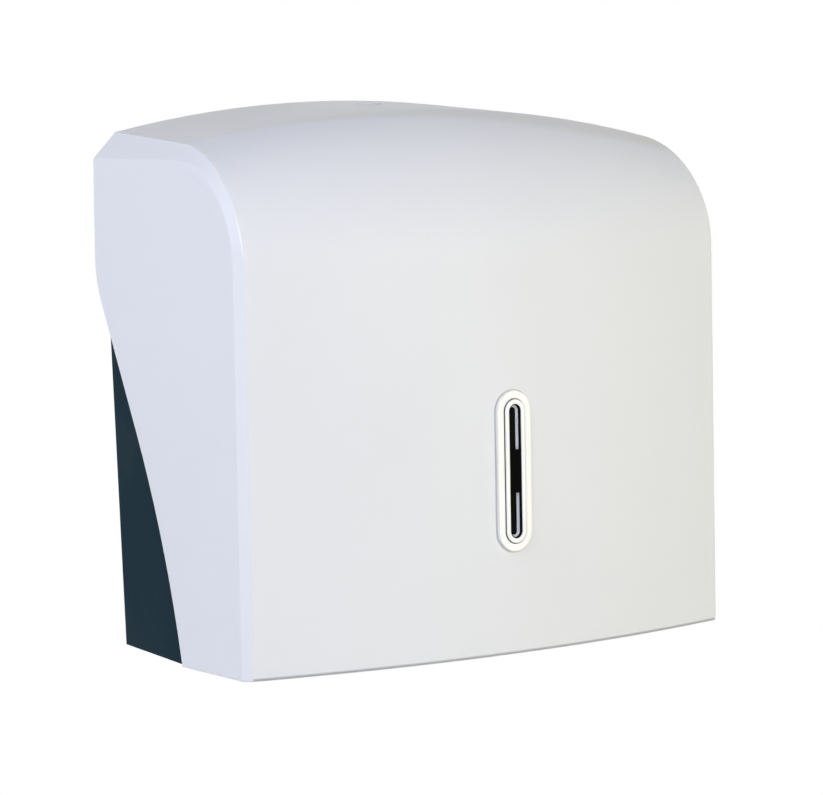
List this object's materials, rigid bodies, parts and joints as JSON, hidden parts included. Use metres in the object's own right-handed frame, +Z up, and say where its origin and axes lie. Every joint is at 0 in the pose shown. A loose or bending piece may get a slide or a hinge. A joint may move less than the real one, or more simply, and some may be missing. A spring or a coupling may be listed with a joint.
{
  "type": "folded paper towel dispenser",
  "caption": "Wall-mounted dispenser for folded paper towels: dark base, white bowed cover hinged at its foot with a quarter-turn lock, and an upright sight window.",
  "frame": {"origin": "middle of the four wall screw holes, on the wall plane", "axes": "+X to the right as seen from the front, +Y into the wall, +Z up"},
  "size_m": [0.286, 0.1441, 0.2615],
  "materials": {
    "cover_plastic": "satin white",
    "ring_plastic": "gloss white",
    "base_plastic": "fine moulded texture, dark blue-grey",
    "throat_plastic": "smooth, dark blue-grey",
    "black_plastic": "satin black",
    "frosted_plastic": "frosted, pale",
    "smoked_plastic": "smoked, glossy",
    "bush_plastic": "natural acetal",
    "plated_steel": "bright zinc plate",
    "lock_plastic": "satin, light grey"
  },
  "bodies": {
    "base": {"rear_base": "base_plastic", "outlet_throat": "throat_plastic", "towel_guide_left": "throat_plastic", "towel_guide_right": "throat_plastic", "guide_screws": "plated_steel", "hinge_pin_left": "plated_steel", "hinge_pin_right": "plated_steel", "lock_keeper": "plated_steel", "keeper_screws": "plated_steel"},
    "cover": {"front_cover": "cover_plastic", "hinge_bush_left": "bush_plastic", "hinge_bush_right": "bush_plastic", "lock_housing": "cover_plastic", "lock_nut": "plated_steel", "window_outer_ring": "ring_plastic", "window_inner_ring": "ring_plastic", "window_face": "black_plastic", "window_liner": "frosted_plastic", "window_pane": "smoked_plastic", "window_retainer": "black_plastic", "window_screws": "plated_steel"},
    "lock": {"lock_cylinder": "lock_plastic", "lock_cam": "plated_steel", "cam_washer": "plated_steel", "cam_screw": "plated_steel"}
  },
  "joints": [
    {"name": "cover_hinge", "type": "hinge", "parent": "base", "child": "cover", "pos_m": [0, -0.1, -0.133], "axis": [1, 0, 0], "range_deg": [0, 100]},
    {"name": "lock_turn", "type": "hinge", "parent": "cover", "child": "lock", "pos_m": [0, -0.026, 0.1], "axis": [0, 0, 1], "range_deg": [0, 90]}
  ]
}
